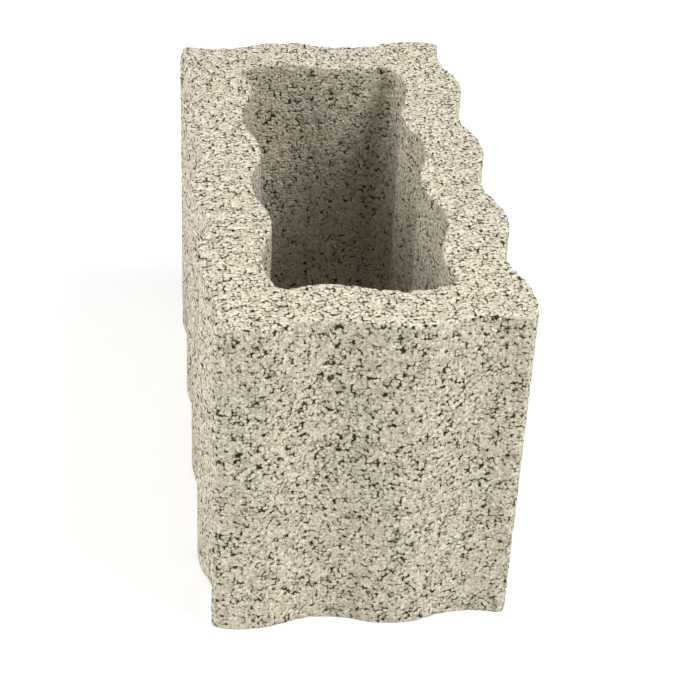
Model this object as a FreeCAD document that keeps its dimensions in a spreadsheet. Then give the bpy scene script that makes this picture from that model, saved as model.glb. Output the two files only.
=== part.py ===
"""Wavy concrete planter block, open at top and bottom.

The block is one vibro-pressed casting. Its four walls run in waves of one pitch, so that blocks nest
side by side, end to end and crosswise. Opposite walls carry the same wave, moved across by the block's
width or length, and the cavity repeats the wave one wall thickness further in.

Frame: +X across the block, +Y along it, +Z up. The origin is at the middle of the underside.
All sizes are in millimetres.
"""

import FreeCAD, Part
import os
import Sketcher

SIZES = {
    "block_width": 250.0,  # across X, between the middle lines of the side waves
    "block_length": 500.0,  # along Y, between the middle lines of the end waves
    "block_height": 300.0,
    "side_wall": 53.0,  # between the middle lines of a wall's two waves
    "end_wall": 52.0,
    "side_waves": 4,  # whole waves along each side
    "end_waves": 2,  # whole waves along each end
    "side_wave_rise": 6.0,  # crest above the middle line
    "end_wave_rise": 6.0,
    "corner_radius": 7.0,
    "cavity_corner_radius": 11.0,
    "rim_radius": 2.0,  # top edges, outside and inside
    "foot_radius": 1.5,  # bottom edges, outside and inside
    "trim_margin": 40.0,  # how far the trimming cuts reach past the block
}

NODE = "planter_block"
SPARE_HALF_WAVES = 1  # run past each end of a wall line, so that the cuts make the corners


def make_sheet(doc):
    """The spreadsheet that drives every sketch and feature."""
    sheet = doc.addObject("Spreadsheet::Sheet", "Sizes")
    for row, (alias, value) in enumerate(SIZES.items(), start=1):
        sheet.set(f"A{row}", alias)
        sheet.set(f"B{row}", str(value))
        sheet.setAlias(f"B{row}", alias)
    doc.recompute()
    return sheet


def origin_plane(body, role):
    """One of the body's own origin planes, by its role."""
    return next(feature for feature in body.Origin.OriginFeatures if feature.Role == role)


def new_sketch(body, name):
    """An empty sketch on the body's XY plane."""
    sketch = body.newObject("Sketcher::SketchObject", name)
    sketch.AttachmentSupport = (origin_plane(body, "XY_Plane"), [""])
    sketch.MapMode = "FlatFace"
    return sketch


def bind(sketch, constraint, formula):
    """Adds a dimensional constraint and binds it to the sheet."""
    index = sketch.addConstraint(constraint)
    sketch.setExpression(f"Constraints[{index}]", formula)
    return index


def place_point(sketch, geometry, end, point, formulas):
    """Holds one end of a line or arc at a point given from the sketch's origin."""
    bind(sketch, Sketcher.Constraint("DistanceX", -1, 1, geometry, end, point.x), formulas[0])
    bind(sketch, Sketcher.Constraint("DistanceY", -1, 1, geometry, end, point.y), formulas[1])


class WaveLine:
    """A wall line of tangent arcs: half waves of one chord that bulge to either side in turn.

    along is the axis that the line follows, "x" or "y". The middle line lies at side * (across / 2 - inset).
    The wave crosses its middle line at both ends of the block, whatever the inset is.
    """

    def __init__(self, sheet, along, side, inset=None):
        self.along = along
        self.side = side
        prefix, self.length_name, self.across_name = {
            "y": ("side", "block_length", "block_width"),
            "x": ("end", "block_width", "block_length"),
        }[along]
        self.waves_name = f"{prefix}_waves"
        self.rise_name = f"{prefix}_wave_rise"
        self.inset_name = inset
        self.rise = sheet.get(self.rise_name)
        self.half_waves = 2 * int(sheet.get(self.waves_name))
        self.chord = sheet.get(self.length_name) / self.half_waves
        inset_value = sheet.get(inset) if inset else 0.0
        self.across = side * (sheet.get(self.across_name) / 2 - inset_value)
        self.first = -SPARE_HALF_WAVES
        self.last = self.half_waves + SPARE_HALF_WAVES

    def across_formula(self):
        inset = f" - Sizes.{self.inset_name}" if self.inset_name else ""
        return f"{self.side} * (Sizes.{self.across_name} / 2{inset})"

    def radius_formula(self):
        quarter = f"Sizes.{self.length_name} / Sizes.{self.waves_name} / 4"
        rise = f"Sizes.{self.rise_name}"
        return f"(({quarter})^2 + {rise}^2) / (2 * {rise})"

    def node(self, k):
        """The k-th crossing of the middle line, as a point and as its two formulas."""
        share = f"({k} / (2 * Sizes.{self.waves_name}) - 0.5)"
        distance = (k - self.half_waves / 2) * self.chord
        along = (distance, f"Sizes.{self.length_name} * {share}")
        across = (self.across, self.across_formula())
        x, y = (along, across) if self.along == "x" else (across, along)
        return FreeCAD.Vector(x[0], y[0], 0), (x[1], y[1])

    def crest(self, k):
        """The top of the half wave after crossing k."""
        swing = self.rise * (1 if k % 2 == 0 else -1)
        along = (k + 0.5 - self.half_waves / 2) * self.chord
        if self.along == "x":
            return FreeCAD.Vector(along, self.across - swing, 0)
        return FreeCAD.Vector(self.across + swing, along, 0)

    def draw(self, sketch):
        """Adds the arcs with their constraints, and returns the first and last arc's open end."""
        crossings = range(self.first, self.last)
        arcs = []
        for k in crossings:
            start, end = self.node(k)[0], self.node(k + 1)[0]
            arcs.append(sketch.addGeometry(Part.Arc(start, self.crest(k), end), False))
        ends = [arc_ends(sketch, arc, self.node(k)[0]) for arc, k in zip(arcs, crossings)]
        for i in range(1, len(arcs)):
            joint = Sketcher.Constraint("Coincident", arcs[i - 1], ends[i - 1][1], arcs[i], ends[i][0])
            sketch.addConstraint(joint)
        for arc, k, (before, after) in zip(arcs, crossings, ends):
            place_point(sketch, arc, before, *self.node(k))
        place_point(sketch, arcs[-1], ends[-1][1], *self.node(self.last))
        radius = sketch.Geometry[arcs[0]].Radius
        bind(sketch, Sketcher.Constraint("Radius", arcs[0], radius), self.radius_formula())
        for arc in arcs[1:]:
            sketch.addConstraint(Sketcher.Constraint("Equal", arcs[0], arc))
        return (arcs[0], ends[0][0]), (arcs[-1], ends[-1][1])


def arc_ends(sketch, arc, start):
    """The arc's start and end codes, in the order in which the wave line runs."""
    distances = [sketch.getPoint(arc, end).distanceToPoint(start) for end in (1, 2)]
    return (1, 2) if distances[0] < distances[1] else (2, 1)


def join(sketch, one, other):
    """A straight line from one open end to another."""
    line = sketch.addGeometry(Part.LineSegment(sketch.getPoint(*one), sketch.getPoint(*other)), False)
    sketch.addConstraint(Sketcher.Constraint("Coincident", line, 1, *one))
    sketch.addConstraint(Sketcher.Constraint("Coincident", line, 2, *other))


def pad_between_sides(body, sheet, inset, below, height):
    """The prism between the two side waves, left long at both ends."""
    sketch = new_sketch(body, f"{body.Name}_sides")
    left_start, left_end = WaveLine(sheet, "y", -1, inset).draw(sketch)
    right_start, right_end = WaveLine(sheet, "y", 1, inset).draw(sketch)
    join(sketch, left_start, right_start)
    join(sketch, left_end, right_end)
    if below:
        sketch.setExpression("AttachmentOffset.Base.z", f"-{below}")
    pad = body.newObject("PartDesign::Pad", f"{body.Name}_pad")
    pad.Profile = sketch
    pad.setExpression("Length", height)
    return pad


def trim_end(body, sheet, side, inset):
    """Cuts off what lies past one end wave, through the whole prism."""
    sketch = new_sketch(body, f"{body.Name}_{'back' if side > 0 else 'front'}_end")
    line = WaveLine(sheet, "x", side, inset)
    near_left, near_right = line.draw(sketch)
    (left, left_formulas), (right, right_formulas) = line.node(line.first), line.node(line.last)
    reach = f"{side} * (Sizes.block_length + Sizes.trim_margin)"
    reach_value = side * (sheet.get("block_length") + sheet.get("trim_margin"))
    far_left = FreeCAD.Vector(left.x, reach_value, 0)
    far_right = FreeCAD.Vector(right.x, reach_value, 0)
    far = sketch.addGeometry(Part.LineSegment(far_left, far_right), False)
    place_point(sketch, far, 1, far_left, (left_formulas[0], reach))
    place_point(sketch, far, 2, far_right, (right_formulas[0], reach))
    join(sketch, near_left, (far, 1))
    join(sketch, near_right, (far, 2))
    pocket = body.newObject("PartDesign::Pocket", f"{sketch.Name}_trim")
    pocket.Profile = sketch
    pocket.Type = "ThroughAll"
    pocket.Midplane = True
    return pocket


def make_prism(doc, sheet, name, insets=(None, None), below="", height="Sizes.block_height"):
    """A body bounded by four wave lines: the block's outside, or the cavity's core."""
    body = doc.addObject("PartDesign::Body", name)
    pad_between_sides(body, sheet, insets[0], below, height)
    trim_end(body, sheet, -1, insets[1])
    trim_end(body, sheet, 1, insets[1])
    doc.recompute()
    return body


def is_upright(edge):
    first, last = edge.Vertexes[0].Point, edge.Vertexes[-1].Point
    return abs(first.x - last.x) < 1e-6 and abs(first.y - last.y) < 1e-6


def upright_corner_edges(shape, corners, reach):
    """Names of the upright edges nearest to the given corner points, one for each corner."""
    uprights = {
        f"Edge{n}": FreeCAD.Vector(edge.Vertexes[0].X, edge.Vertexes[0].Y, 0)
        for n, edge in enumerate(shape.Edges, start=1)
        if is_upright(edge) and is_corner(shape, edge)
    }
    names = []
    for corner in corners:
        distance, name = min((foot.distanceToPoint(corner), name) for name, foot in uprights.items())
        if distance > reach:
            raise RuntimeError(f"no upright corner edge within {reach} of {corner}")
        names.append(name)
    return names


def is_corner(shape, edge):
    """True where the two walls that share an upright edge meet at an angle, not tangentially."""
    walls = shape.ancestorsOfType(edge, Part.Face)
    point = edge.Vertexes[0].Point
    normals = [wall.normalAt(*wall.Surface.parameter(point)) for wall in walls]
    return normals[0].cross(normals[1]).Length > 0.5


def level_edges(shape, height):
    """Names of every edge that lies at one height."""
    return [
        f"Edge{n}"
        for n, edge in enumerate(shape.Edges, start=1)
        if max(abs(edge.BoundBox.ZMin - height), abs(edge.BoundBox.ZMax - height)) < 1e-6
    ]


def round_edges(body, name, base, edges, radius):
    """A fillet whose radius is bound to the sheet."""
    fillet = body.newObject("PartDesign::Fillet", name)
    fillet.Base = (base, edges)
    fillet.setExpression("Radius", f"Sizes.{radius}")
    return fillet


def corner_points(sheet, side_inset, end_inset):
    half_width = sheet.get("block_width") / 2 - side_inset
    half_length = sheet.get("block_length") / 2 - end_inset
    return [FreeCAD.Vector(x * half_width, y * half_length, 0) for x in (-1, 1) for y in (-1, 1)]


def round_corners(doc, sheet, body, insets, radius):
    """Rounds the four upright corners of a prism."""
    base = body.Tip
    inset_values = [sheet.get(inset) if inset else 0.0 for inset in insets]
    reach = 3 * max(sheet.get("side_wave_rise"), sheet.get("end_wave_rise"))
    corners = corner_points(sheet, *inset_values)
    edges = upright_corner_edges(base.Shape, corners, reach)
    fillet = round_edges(body, f"{body.Name}_corners", base, edges, radius)
    doc.recompute()
    return fillet


def make_block(doc, sheet):
    """The finished casting: outside prism, less the core, with every rim rounded."""
    block = make_prism(doc, sheet, NODE)
    round_corners(doc, sheet, block, (None, None), "corner_radius")
    core_walls = ("side_wall", "end_wall")
    core_height = "Sizes.block_height + 2 * Sizes.trim_margin"
    core = make_prism(doc, sheet, "cavity_core", core_walls, "Sizes.trim_margin", core_height)
    round_corners(doc, sheet, core, core_walls, "cavity_corner_radius")
    cut = block.newObject("PartDesign::Boolean", "cavity")
    cut.setObjects([core])
    cut.Type = "Cut"
    doc.recompute()
    top_edges = level_edges(cut.Shape, sheet.get("block_height"))
    rim = round_edges(block, "rim", cut, top_edges, "rim_radius")
    doc.recompute()
    round_edges(block, "foot", rim, level_edges(rim.Shape, 0.0), "foot_radius")
    doc.recompute()
    return block


def check(doc, body):
    """Stops the build if any feature failed or the casting isn't one sound solid."""
    failed = [item.Name for item in doc.Objects if "Invalid" in item.State or "Error" in item.State]
    if failed:
        raise RuntimeError(f"features failed: {failed}")
    shape = body.Shape
    if shape.isNull() or not shape.isValid() or len(shape.Solids) != 1:
        raise RuntimeError(f"{body.Label} isn't one valid solid")


def main():
    doc = FreeCAD.newDocument("PlanterBlock")
    sheet = make_sheet(doc)
    block = make_block(doc, sheet)
    check(doc, block)
    block.Label = NODE
    os.makedirs("parts", exist_ok=True)
    block.Shape.exportStep(f"parts/{NODE}.step")
    bounds = block.Shape.optimalBoundingBox(False, False)
    print(f"{NODE}: {bounds.XLength:.2f} x {bounds.YLength:.2f} x {bounds.ZLength:.2f} mm", end=", ")
    print(f"{block.Shape.Volume / 1e6:.3f} litres, {len(block.Shape.Faces)} faces")


main()
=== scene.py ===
import math

import bpy
import numpy as np
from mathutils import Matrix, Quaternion, Vector


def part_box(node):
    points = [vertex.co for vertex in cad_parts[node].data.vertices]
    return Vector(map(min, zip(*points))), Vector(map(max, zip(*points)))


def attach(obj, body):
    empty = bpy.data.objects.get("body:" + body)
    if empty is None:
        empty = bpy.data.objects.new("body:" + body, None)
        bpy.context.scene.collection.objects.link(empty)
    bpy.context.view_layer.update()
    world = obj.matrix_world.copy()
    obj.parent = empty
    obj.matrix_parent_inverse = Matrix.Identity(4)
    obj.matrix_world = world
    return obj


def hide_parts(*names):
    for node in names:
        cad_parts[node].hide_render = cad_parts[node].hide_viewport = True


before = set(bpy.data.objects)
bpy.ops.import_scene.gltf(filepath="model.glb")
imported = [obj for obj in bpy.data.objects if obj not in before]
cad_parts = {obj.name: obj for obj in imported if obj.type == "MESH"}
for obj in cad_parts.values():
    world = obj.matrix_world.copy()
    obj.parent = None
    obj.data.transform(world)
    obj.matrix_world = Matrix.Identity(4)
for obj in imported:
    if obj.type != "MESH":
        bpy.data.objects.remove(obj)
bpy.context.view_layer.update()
mm = 0.001

low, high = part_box("planter_block")
block = {
    "height": high.z - low.z,
    "waveRise": 6 * mm,  # crest above the middle line
    "sideWaves": 4,
    "sideWall": 53 * mm,
    "endWall": 52 * mm,
    "cornerRadius": 7 * mm,
    "cavityCornerRadius": 11 * mm,
    "rimRadius": 2 * mm,
    "footRadius": 1.5 * mm,
}
block["width"] = high.x - low.x - 2 * block["waveRise"]
block["length"] = high.y - low.y - 2 * block["waveRise"]

relief = {
    "Cluster": 8 * mm,  # size of a clump of grains
    "Pit Depth": 1.1 * mm,
    "Lump Height": 0.5 * mm,
    "Rim Wear": 2.5 * mm,
}


halfWave = block["length"] / block["sideWaves"] / 2
arcRadius = ((halfWave / 2) ** 2 + block["waveRise"] ** 2) / (2 * block["waveRise"])


# How far a wall line of tangent arcs stands off its middle line
def waveSwing(distance):
    half, along = np.divmod(distance, halfWave)
    swing = np.sqrt(arcRadius**2 - (along - halfWave / 2) ** 2) - arcRadius + block["waveRise"]
    return np.where(half % 2 == 0, swing, -swing)


# A point of the left (-1) or right (1) wall line
def sidePoint(sign, inset, y):
    x = sign * (block["width"] / 2 - inset) + waveSwing(y + block["length"] / 2)
    return np.stack([x, y + 0 * x], axis=-1)


# A point of the front (-1) or back (1) wall line
def endPoint(sign, inset, x):
    y = sign * (block["length"] / 2 - inset) - waveSwing(x + block["width"] / 2)
    return np.stack([x + 0 * y, y], axis=-1)


# Where a side line crosses an end line
def cornerPoint(signX, signY, insets):
    x = np.float64(signX * (block["width"] / 2 - insets[0]))
    y = np.float64(signY * (block["length"] / 2 - insets[1]))
    for _ in range(30):
        x = sidePoint(signX, insets[0], y)[0]
        y = endPoint(signY, insets[1], x)[1]
    return np.array([x, y])


# Points of a quarter turn between two tangent points, without its first and last
def roundCorner(before, corner, after, steps):
    reach = 0.5523  # makes a cubic curve follow a quarter circle
    first, second = before + reach * (corner - before), after + reach * (corner - after)
    t = np.linspace(0, 1, steps + 1)[1:-1, None]
    return (
        (1 - t) ** 3 * before + 3 * (1 - t) ** 2 * t * first + 3 * (1 - t) * t**2 * second + t**3 * after
    )


# The closed outline at one pair of insets, anticlockwise from the front right corner
def wallLoop(insets, radius, counts):
    corners = {(a, b): cornerPoint(a, b, insets) for a in (-1, 1) for b in (-1, 1)}
    trim = radius * math.cos(math.asin(halfWave / 2 / arcRadius))  # slanted walls use less of the axis
    runs = []
    for start, end in (((1, -1), (1, 1)), ((1, 1), (-1, 1)), ((-1, 1), (-1, -1)), ((-1, -1), (1, -1))):
        alongY = start[0] == end[0]
        axis = 1 if alongY else 0
        a, b = corners[start][axis], corners[end][axis]
        direction = math.copysign(1, b - a)
        steps = counts["side" if alongY else "end"]
        places = np.linspace(a + direction * trim, b - direction * trim, steps + 1)
        line = sidePoint(start[0], insets[0], places) if alongY else endPoint(start[1], insets[1], places)
        runs.append((line, corners[end]))
    points = []
    for i, (line, corner) in enumerate(runs):
        following = runs[(i + 1) % 4][0]
        points += [line, roundCorner(line[-1], corner, following[0], counts["corner"])]
    return np.concatenate(points)


# Unit normals of an anticlockwise loop, pointing inwards
def inwardNormals(loop):
    tangent = np.roll(loop, -1, axis=0) - np.roll(loop, 1, axis=0)
    normal = np.stack([-tangent[:, 1], tangent[:, 0]], axis=-1)
    return normal / np.linalg.norm(normal, axis=1, keepdims=True)


counts = {"side": 156, "end": 76, "corner": 4}
rings = {"outer": 88, "rim": 3, "top": 20, "inner": 76, "foot": 2, "bottom": 14}
wearAndHighlightReach = 5 * mm  # how far chipping wear and the painted rim highlight reach from a rim


# Round the wall's section: how far across from outer to inner, depth below the skin, and height
def sectionStations():
    height, rim, foot = block["height"], block["rimRadius"], block["footRadius"]
    tall = height - rim - foot
    stations = [(0, 0, foot + tall * i / rings["outer"]) for i in range(rings["outer"])]
    for i in range(rings["rim"]):
        turn = math.pi / 2 * i / rings["rim"]
        stations.append((0, rim * (1 - math.cos(turn)), height - rim * (1 - math.sin(turn))))
    stations += [(i / rings["top"], rim, height) for i in range(rings["top"])]
    for i in range(rings["rim"]):
        turn = math.pi / 2 * (1 - i / rings["rim"])
        stations.append((1, rim * (1 - math.cos(turn)), height - rim * (1 - math.sin(turn))))
    stations += [(1, 0, height - rim - tall * i / rings["inner"]) for i in range(rings["inner"])]
    for i in range(rings["foot"]):
        turn = math.pi / 2 * i / rings["foot"]
        stations.append((1, foot * (1 - math.cos(turn)), foot * (1 - math.sin(turn))))
    stations += [(1 - i / rings["bottom"], foot, 0) for i in range(rings["bottom"])]
    for i in range(rings["foot"]):
        turn = math.pi / 2 * (1 - i / rings["foot"])
        stations.append((0, foot * (1 - math.cos(turn)), foot * (1 - math.sin(turn))))
    return stations


# One closed skin: the outline carried round the wall's section
def blockMesh():
    outer = wallLoop((0, 0), block["cornerRadius"], counts)
    inner = wallLoop((block["sideWall"], block["endWall"]), block["cavityCornerRadius"], counts)
    outerIn, innerOut = inwardNormals(outer), -inwardNormals(inner)
    layers, wearAndHighlight, inside = [], [], []
    for across, depth, z in sectionStations():
        flat = (1 - across) * (outer + depth * outerIn) + across * (inner + depth * innerOut)
        layers.append(np.column_stack([flat, np.full(len(flat), z)]))
        # falloff from the top rims: chipping wear in the shape, a painted highlight in colour
        fromRim = math.hypot(min(across, 1 - across) * block["endWall"], block["height"] - z)
        wearAndHighlight.append(np.full(len(flat), max(0.0, 1 - fromRim / wearAndHighlightReach)))
        inside.append(np.full(len(flat), 1.0 if across == 1 else 0.0))
    points = np.concatenate(layers)
    around, along = len(outer), len(layers)
    i, j = np.meshgrid(np.arange(around), np.arange(along), indexing="ij")
    nextI, nextJ = (i + 1) % around, (j + 1) % along
    row, nextRow = j * around, nextJ * around
    quads = np.stack([row + i, row + nextI, nextRow + nextI, nextRow + i], axis=-1)
    mesh = bpy.data.meshes.new("planterBlock")
    mesh.from_pydata(points.tolist(), [], quads.reshape(-1, 4).tolist())
    for name, values in (("rimWearAndHighlight", wearAndHighlight), ("cavity", inside)):
        attribute = mesh.attributes.new(name, "FLOAT", "POINT")
        attribute.data.foreach_set("value", np.concatenate(values).astype(np.float32))
    mesh.validate()
    return mesh


# A node with its settings, and sockets that take a value or a link, by name
def node(tree, kind, settings=None, **sockets):
    made = tree.nodes.new(kind)
    for name, value in (settings or {}).items():
        setattr(made, name, value)
    for name, value in sockets.items():
        plug(tree, made, name.replace("_", " "), value)
    return made


# Sets or links one input, found by its name or number
def plug(tree, made, name, value):
    socket = made.inputs[int(name[1:])] if name[0] == "n" and name[1:].isdigit() else made.inputs[name]
    if isinstance(value, bpy.types.NodeSocket):
        tree.links.new(value, socket)
    else:
        socket.default_value = value


def maths(tree, operation, a, b=0.0, c=0.0, clamp=False):
    made = node(tree, "ShaderNodeMath", {"operation": operation, "use_clamp": clamp}, n0=a, n1=b, n2=c)
    return made.outputs[0]


# value moved from start..end to a new range, clamped
def ramp(tree, value, start, end, to=(0.0, 1.0), smooth=True):
    settings = {"interpolation_type": "SMOOTHSTEP" if smooth else "LINEAR"}
    made = node(tree, "ShaderNodeMapRange", settings, n0=value, n1=start, n2=end, n3=to[0], n4=to[1])
    return made.outputs[0]


# Noise from 0 to 1 whose features are about size metres
def noise(tree, place, size, detail=2.0, rough=0.5):
    settings = {"noise_dimensions": "3D"}
    return node(
        tree, "ShaderNodeTexNoise", settings, Vector=place, Scale=1 / size, Detail=detail, Roughness=rough
    ).outputs["Fac"]


# A node group with its sockets; returns it with its input and output nodes
def newGroup(name, treeType, inputs, outputs):
    group = bpy.data.node_groups.new(name, treeType)
    for label, kind in inputs:
        group.interface.new_socket(label, in_out="INPUT", socket_type=kind)
    for label, kind in outputs:
        group.interface.new_socket(label, in_out="OUTPUT", socket_type=kind)
    return group, group.nodes.new("NodeGroupInput"), group.nodes.new("NodeGroupOutput")


grainMix = {
    "bendPerMetre": 300.0,  # grain edges wander over about 3 mm
    "bendReach": 1.5 * mm,
    "randomness": 0.85,
    "patch": 10 * mm,  # size of the tighter and looser stretches
    "gapStart": 0.82,  # how far from a grain's middle a gap opens, in grains
    "loosening": -0.14,
}


# Where grains lie and gaps open between them, the same for shape and for colour. Gap is 1 deep in
# an open gap, Crevice its wider shoulder, LipHighlight a ring round it that colour paints pale as a
# highlight, Dome a grain's rounding and Tone one random value for each grain. In colour, Gap and
# Crevice carry painted shade.
def grainGroup(treeType):
    group, given, result = newGroup(
        f"grain{treeType[:8]}",
        treeType,
        [("Place", "NodeSocketVector"), ("Grain", "NodeSocketFloat"), ("Extra", "NodeSocketFloat")],
        [(label, "NodeSocketFloat") for label in ("Gap", "Crevice", "LipHighlight", "Dome", "Tone")],
    )
    place = given.outputs["Place"]
    fineness = {"Scale": grainMix["bendPerMetre"], "Detail": 2.0}
    bend = node(group, "ShaderNodeTexNoise", {"noise_dimensions": "3D"}, Vector=place, **fineness)
    centred = node(group, "ShaderNodeVectorMath", {"operation": "SUBTRACT"}, n0=bend.outputs["Color"])
    centred.inputs[1].default_value = (0.5, 0.5, 0.5)
    bent = node(group, "ShaderNodeVectorMath", {"operation": "SCALE"}, n0=centred.outputs[0])
    bent.inputs["Scale"].default_value = grainMix["bendReach"]
    warped = node(group, "ShaderNodeVectorMath", {"operation": "ADD"}, n0=place, n1=bent.outputs[0])
    cells = node(
        group,
        "ShaderNodeTexVoronoi",
        {"voronoi_dimensions": "3D"},
        Vector=warped.outputs[0],
        Scale=maths(group, "DIVIDE", 1.0, given.outputs["Grain"]),
        Randomness=grainMix["randomness"],
    )
    distance = cells.outputs["Distance"]
    looseness = ramp(group, noise(group, place, grainMix["patch"], 2.0), 0.3, 0.6)
    limit = maths(group, "MULTIPLY_ADD", looseness, grainMix["loosening"], grainMix["gapStart"])
    limit = maths(group, "SUBTRACT", limit, given.outputs["Extra"])
    beyond = maths(group, "SUBTRACT", distance, limit)
    rise, fall = ramp(group, beyond, -0.26, -0.12), ramp(group, beyond, -0.03, -0.12)
    splitter = "ShaderNodeSeparateColor" if treeType == "ShaderNodeTree" else "FunctionNodeSeparateColor"
    made = {
        "Gap": ramp(group, beyond, 0.02, 0.12),
        "Crevice": ramp(group, beyond, -0.18, 0.08),
        "LipHighlight": maths(group, "MULTIPLY", rise, fall),
        "Dome": ramp(group, distance, 0.8, 0.1),
        "Tone": node(group, splitter, n0=cells.outputs["Color"]).outputs[0],
    }
    for label, value in made.items():
        group.links.new(value, result.inputs[label])
    return group


reliefSizes = {"lump": 11 * mm, "chip": 7 * mm}


# Geometry Nodes that press the gaps and lumps of the mix into a plain skin
def reliefTree(material):
    shape = [("Geometry", "NodeSocketGeometry")]
    amounts = [(name, "NodeSocketFloat") for name in relief]
    tree, given, result = newGroup("castRelief", "GeometryNodeTree", shape + amounts, shape)
    place = node(tree, "GeometryNodeInputPosition").outputs[0]
    grain = node(
        tree,
        "GeometryNodeGroup",
        {"node_tree": grainGroup("GeometryNodeTree")},
        Place=place,
        Grain=given.outputs["Cluster"],
    )
    kept = node(
        tree,
        "GeometryNodeStoreNamedAttribute",
        {"data_type": "FLOAT_VECTOR", "domain": "POINT"},
        Geometry=given.outputs["Geometry"],
        Name="castPlace",
        Value=place,
    )
    normal = node(tree, "GeometryNodeInputNormal").outputs[0]
    facing = node(tree, "ShaderNodeSeparateXYZ", n0=normal).outputs["Z"]
    raised = ramp(tree, facing, -0.9, -0.5)  # the underside stays down on the floor
    pits = maths(tree, "MULTIPLY", grain.outputs["Crevice"], given.outputs["Pit Depth"])
    lumpNoise = noise(tree, place, reliefSizes["lump"], 3.0)
    lumps = maths(tree, "MULTIPLY", lumpNoise, given.outputs["Lump Height"])
    lumps = maths(tree, "MULTIPLY", lumps, raised)
    rim = node(tree, "GeometryNodeInputNamedAttribute", {"data_type": "FLOAT"}, Name="rimWearAndHighlight").outputs[0]
    chips = ramp(tree, noise(tree, place, reliefSizes["chip"], 3.0, 0.6), 0.42, 0.75)
    worn = maths(tree, "MULTIPLY", maths(tree, "MULTIPLY", chips, rim), given.outputs["Rim Wear"])
    depth = maths(tree, "ADD", maths(tree, "ADD", pits, lumps), worn)
    outward = maths(tree, "MULTIPLY", depth, -1.0)
    inwards = node(tree, "ShaderNodeVectorMath", {"operation": "SCALE"}, n0=normal, Scale=outward)
    moved = node(tree, "GeometryNodeSetPosition", Geometry=kept.outputs[0], Offset=inwards.outputs[0])
    smooth = node(tree, "GeometryNodeSetShadeSmooth", Geometry=moved.outputs[0])
    whole = node(tree, "GeometryNodeRealizeInstances", Geometry=smooth.outputs[0])
    finished = node(tree, "GeometryNodeSetMaterial", Geometry=whole.outputs[0], Material=material)
    tree.links.new(finished.outputs[0], result.inputs[0])
    return tree


# The finished mesh of the block, with its relief applied
def pressRelief(mesh, material):
    source = bpy.data.objects.new("plainSkin", mesh)
    bpy.context.scene.collection.objects.link(source)
    modifier = source.modifiers.new("relief", "NODES")
    modifier.node_group = reliefTree(material)
    for item in modifier.node_group.interface.items_tree:
        if item.in_out == "INPUT" and item.name in relief:
            modifier[item.identifier] = relief[item.name]
    graph = bpy.context.evaluated_depsgraph_get()
    finished = bpy.data.meshes.new_from_object(source.evaluated_get(graph), depsgraph=graph)
    source.modifiers.remove(modifier)
    bpy.data.objects.remove(source)
    return finished


grainSizes = {"main": 2.9 * mm, "fine": 2.0 * mm}
tones = {
    "warm": (0.62, 0.555, 0.43, 1),
    "cool": (0.61, 0.565, 0.44, 1),
    "shaded": (0.42, 0.37, 0.275, 1),
    # pale for light specks, and for the painted highlights round the gaps and along the rims
    "pale": (0.88, 0.82, 0.67, 1),
    # painted shade: near-black standing in for the shade deep in the open gaps
    "gap": (0.022, 0.016, 0.009, 1),
    # painted shade: dark brown for the shade in the crevices round the gaps
    "crevice": (0.2, 0.165, 0.115, 1),
}
# Surface settings, with the weights of the painted shade and painted highlights
surfaceAndPaintedLight = {
    "cloud": 45 * mm,  # slow drift between the two base tones
    "speck": 2.9 * mm,
    "rimBreak": 9 * mm,  # how often the painted highlight line along a rim breaks
    # painted highlight: pale rings round the gaps
    "lipHighlight": 0.45,
    # painted shade in the crevices between grains
    "crevice": 0.65,
    # painted shade in the crevices between clumps
    "clump": 0.25,
    # painted shade in the open gaps
    "gap": 0.97,
    # painted shade over the cavity's inner walls
    "cavity": 0.12,
    "roughness": 0.92,
    "specular": 0.12,
}
bumps = {"crevice": -0.6 * mm, "gap": -0.8 * mm, "fineGap": -0.5 * mm, "dome": 0.5 * mm, "speck": 1.6 * mm}


def mixColours(tree, amount, a, b):
    made = node(tree, "ShaderNodeMix", {"data_type": "RGBA", "blend_type": "MIX"}, n0=amount, n6=a, n7=b)
    return made.outputs[2]


def attribute(tree, name, output="Fac"):
    return node(tree, "ShaderNodeAttribute", {"attribute_name": name}).outputs[output]


# The mix is a little more open on top and a little tighter inside the cavity
def extraOpenness(tree, cavity):
    normal = node(tree, "ShaderNodeTexCoord").outputs["Normal"]
    upward = node(tree, "ShaderNodeSeparateXYZ", n0=normal).outputs["Z"]
    extra = maths(tree, "MULTIPLY_ADD", ramp(tree, upward, 0.4, 0.8), 0.03, 0.015)
    return maths(tree, "MULTIPLY_ADD", cavity, -0.03, extra)


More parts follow.
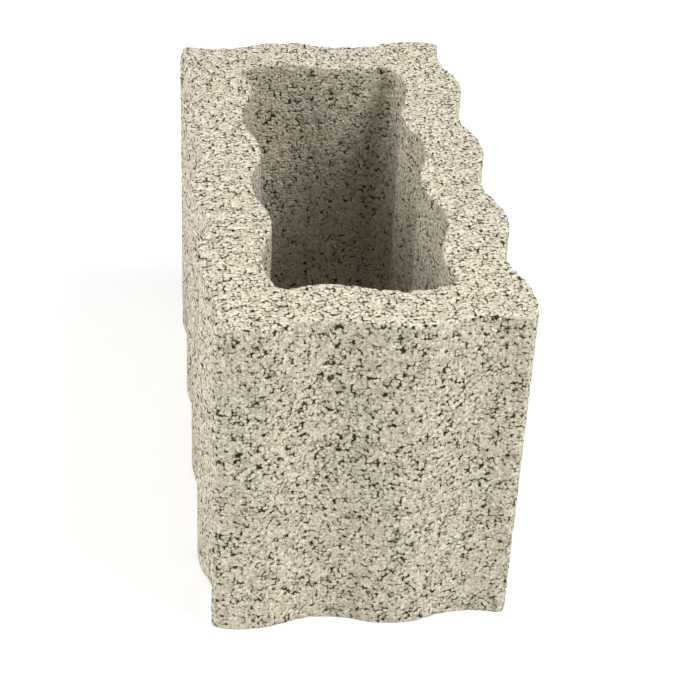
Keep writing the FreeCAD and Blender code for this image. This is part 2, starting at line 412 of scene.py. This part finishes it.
# Colour is laid from the base tones up to the dark of the gaps: painted highlights along the rims
# and round the gaps, painted shade in the crevices, the gaps and the cavity
def layColour(tree, place, texture, cavity):
    clump, grain, fine, speck = (texture[name] for name in ("clump", "grain", "fine", "speck"))
    cloud = noise(tree, place, surfaceAndPaintedLight["cloud"], 3.0)
    colour = mixColours(tree, ramp(tree, cloud, 0.35, 0.65), tones["warm"], tones["cool"])
    colour = mixColours(tree, ramp(tree, speck, 0.53, 0.33, (0.0, 0.95)), colour, tones["shaded"])
    # painted highlight: a pale line along the rims, broken here and there
    rim = ramp(tree, attribute(tree, "rimWearAndHighlight"), 0.35, 1.0)
    unbroken = ramp(tree, noise(tree, place, surfaceAndPaintedLight["rimBreak"], 2.0), 0.3, 0.6, (0.1, 0.65))
    # painted highlight: pale rings round the gaps, added to the pale specks
    lipHighlight = maths(tree, "MULTIPLY", maths(tree, "ADD", grain["LipHighlight"], fine["LipHighlight"]), surfaceAndPaintedLight["lipHighlight"])
    pale = maths(tree, "ADD", ramp(tree, speck, 0.5, 0.72, (0.0, 0.9)), lipHighlight, clamp=True)
    pale = maths(tree, "MAXIMUM", pale, maths(tree, "MULTIPLY", rim, unbroken))
    colour = mixColours(tree, pale, colour, tones["pale"])
    colour = mixColours(tree, ramp(tree, grain["Dome"], 0.6, 0.0, (0.0, 0.35)), colour, tones["shaded"])
    # painted shade in the crevices between grains and between clumps
    crevice = maths(tree, "MULTIPLY", grain["Crevice"], surfaceAndPaintedLight["crevice"])
    crevice = maths(tree, "MULTIPLY_ADD", clump["Crevice"], surfaceAndPaintedLight["clump"], crevice)
    colour = mixColours(tree, crevice, colour, tones["crevice"])
    # painted shade: near-black in the open gaps
    colour = mixColours(tree, maths(tree, "MULTIPLY", texture["gap"], surfaceAndPaintedLight["gap"]), colour, tones["gap"])
    # painted shade: the cavity's inner walls darkened towards the gap tone
    return mixColours(tree, maths(tree, "MULTIPLY", cavity, surfaceAndPaintedLight["cavity"]), colour, tones["gap"])


def makeConcrete():
    material = bpy.data.materials.new("openConcrete")
    material.use_nodes = True
    tree = material.node_tree
    tree.nodes.clear()
    place = attribute(tree, "castPlace", "Vector")
    cavity = attribute(tree, "cavity")
    extra = extraOpenness(tree, cavity)
    mix = {"node_tree": grainGroup("ShaderNodeTree")}
    clump = node(tree, "ShaderNodeGroup", mix, Place=place, Grain=relief["Cluster"]).outputs
    grain = node(tree, "ShaderNodeGroup", mix, Place=place, Grain=grainSizes["main"], Extra=extra).outputs
    fine = node(tree, "ShaderNodeGroup", mix, Place=place, Grain=grainSizes["fine"], Extra=extra).outputs
    fineGap = maths(tree, "MULTIPLY", fine["Gap"], ramp(tree, clump["Dome"], 0.9, 0.3, (0.15, 0.7)))
    toneShift = maths(tree, "MULTIPLY_ADD", grain["Tone"], 0.12, -0.06)
    speck = maths(tree, "ADD", noise(tree, place, surfaceAndPaintedLight["speck"], 2.0, 0.6), toneShift)
    gap = maths(tree, "MAXIMUM", grain["Gap"], fineGap)
    texture = {"clump": clump, "grain": grain, "fine": fine, "speck": speck, "gap": gap}
    height = maths(tree, "MULTIPLY", grain["Crevice"], bumps["crevice"])
    height = maths(tree, "MULTIPLY_ADD", grain["Gap"], bumps["gap"], height)
    height = maths(tree, "MULTIPLY_ADD", fineGap, bumps["fineGap"], height)
    height = maths(tree, "MULTIPLY_ADD", grain["Dome"], bumps["dome"], height)
    height = maths(tree, "MULTIPLY_ADD", speck, bumps["speck"], height)
    bump = node(tree, "ShaderNodeBump", Strength=1.0, Distance=1.0, Height=height)
    colour = layColour(tree, place, texture, cavity)
    shader = node(tree, "ShaderNodeBsdfPrincipled", Base_Color=colour, Normal=bump.outputs[0])
    shader.inputs["Roughness"].default_value = surfaceAndPaintedLight["roughness"]
    shader.inputs["Specular IOR Level"].default_value = surfaceAndPaintedLight["specular"]
    target = node(tree, "ShaderNodeOutputMaterial")
    tree.links.new(shader.outputs[0], target.inputs["Surface"])
    return material


concrete = makeConcrete()
casting = bpy.data.objects.new("planterBlockCasting", pressRelief(blockMesh(), concrete))
bpy.context.scene.collection.objects.link(casting)
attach(casting, "root")
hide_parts("planter_block")
print("casting", len(casting.data.polygons) * 2, "triangles")


stage = {"floorReach": 3.0, "floorShade": 0.95, "floorGlow": 0.2, "worldLight": 0.41, "aim": (0, 0, 0.15)}
lamps = {
    "key": {"place": (1.9, -1.15, 3.0), "size": 1.5, "watts": 112},
    "fill": {"place": (-2.8, -0.05, 2.0), "size": 2.2, "watts": 80},
}
view = {"lens": 94.3, "sensor": 36.0, "place": (-0.177, -1.388, 1.045), "turn": 0.1374, "down": 0.589}
view["roll"] = 0.0503


# Matt white that the camera sees a little lighter than lamps do, so that only the shadow shows
def paleFloorMaterial():
    material = bpy.data.materials.new("paleFloor")
    material.use_nodes = True
    tree = material.node_tree
    shader = tree.nodes["Principled BSDF"]
    seen = node(tree, "ShaderNodeLightPath").outputs["Is Camera Ray"]
    plug(tree, shader, "Emission Strength", maths(tree, "MULTIPLY", seen, stage["floorGlow"]))
    shader.inputs["Base Color"].default_value = (stage["floorShade"],) * 3 + (1,)
    shader.inputs["Emission Color"].default_value = (1, 1, 1, 1)
    shader.inputs["Roughness"].default_value = 0.9
    shader.inputs["Specular IOR Level"].default_value = 0.0
    return material


def makeFloor():
    mesh = bpy.data.meshes.new("floor")
    reach = stage["floorReach"]
    corners = [(-reach, -reach, 0), (reach, -reach, 0), (reach, reach, 0), (-reach, reach, 0)]
    mesh.from_pydata(corners, [], [(0, 1, 2, 3)])
    floor = bpy.data.objects.new("floor", mesh)
    floor.data.materials.append(paleFloorMaterial())
    bpy.context.scene.collection.objects.link(floor)


def makeWorld():
    world = bpy.data.worlds.new("studio")
    bpy.context.scene.world = world
    world.use_nodes = True
    tree = world.node_tree
    tree.nodes.clear()
    seen = node(tree, "ShaderNodeLightPath").outputs["Is Camera Ray"]
    light = node(tree, "ShaderNodeBackground", Color=(1, 1, 1, 1), Strength=stage["worldLight"])
    backdrop = node(tree, "ShaderNodeBackground", Color=(1, 1, 1, 1), Strength=1.0)
    both = node(tree, "ShaderNodeMixShader", n0=seen, n1=light.outputs[0], n2=backdrop.outputs[0])
    target = node(tree, "ShaderNodeOutputWorld")
    tree.links.new(both.outputs[0], target.inputs["Surface"])


def makeLamp(name):
    data = bpy.data.lights.new(name, "AREA")
    data.shape = "SQUARE"
    data.size = lamps[name]["size"]
    data.energy = lamps[name]["watts"]
    lamp = bpy.data.objects.new(name, data)
    lamp.location = lamps[name]["place"]
    beam = Vector(stage["aim"]) - Vector(lamps[name]["place"])
    lamp.rotation_euler = beam.to_track_quat("-Z", "Y").to_euler()
    bpy.context.scene.collection.objects.link(lamp)


def makeCamera():
    data = bpy.data.cameras.new("camera")
    data.lens = view["lens"]
    data.sensor_width = view["sensor"]
    camera = bpy.data.objects.new("camera", data)
    camera.location = view["place"]
    turn, down = view["turn"], view["down"]
    level = math.cos(down)
    forward = Vector((math.sin(turn) * level, math.cos(turn) * level, -math.sin(down)))
    camera.rotation_mode = "QUATERNION"
    camera.rotation_quaternion = forward.to_track_quat("-Z", "Y") @ Quaternion((0, 0, 1), view["roll"])
    bpy.context.scene.collection.objects.link(camera)
    bpy.context.scene.camera = camera


makeFloor()
makeWorld()
for lampName in lamps:
    makeLamp(lampName)
makeCamera()
bpy.context.scene.view_settings.view_transform = "Standard"
print("stage")
